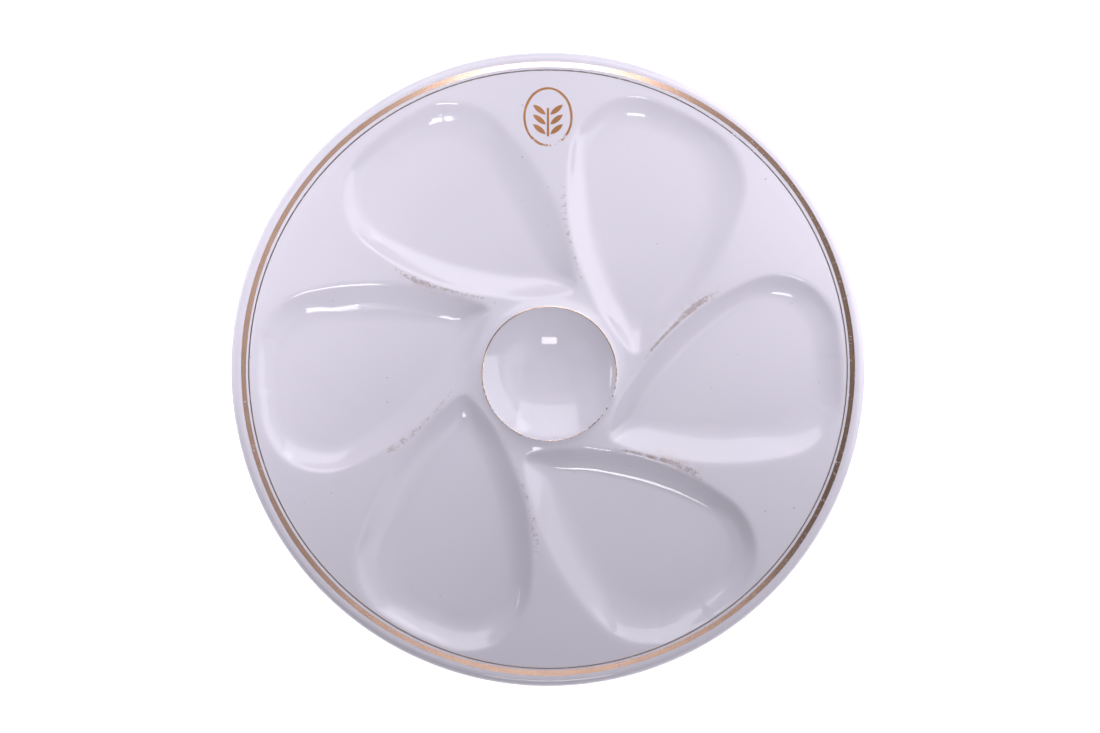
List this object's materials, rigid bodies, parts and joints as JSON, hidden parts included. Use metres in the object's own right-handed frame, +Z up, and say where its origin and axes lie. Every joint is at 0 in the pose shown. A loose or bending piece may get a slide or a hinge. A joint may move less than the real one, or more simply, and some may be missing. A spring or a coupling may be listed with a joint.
{
  "type": "oyster plate",
  "caption": "Round glazed porcelain plate with teardrop wells in a pinwheel round a raised central cup and gilt rim lines, used as an oyster plate or a mixing palette.",
  "frame": {"origin": "centre of the flat foot ring, on the surface that the plate stands on", "axes": "+Z up, out of the wells; +Y from the centre to the small gilt emblem on the rim; +X to the right with the emblem at the top"},
  "size_m": [0.254, 0.254, 0.0182],
  "materials": {
    "porcelain": "clear glossy glaze over slightly cool white porcelain, foot face unglazed",
    "gilding": "fired gold film, worn and a little brown"
  },
  "bodies": {
    "root": {"plate_body": "porcelain", "rim_gilt_band": "gilding", "rim_gilt_line": "gilding", "cup_gilt_ring": "gilding", "emblem_frame": "gilding", "emblem_sprig": "gilding", "ridge_gilt_traces": "gilding"}
  },
  "joints": []
}
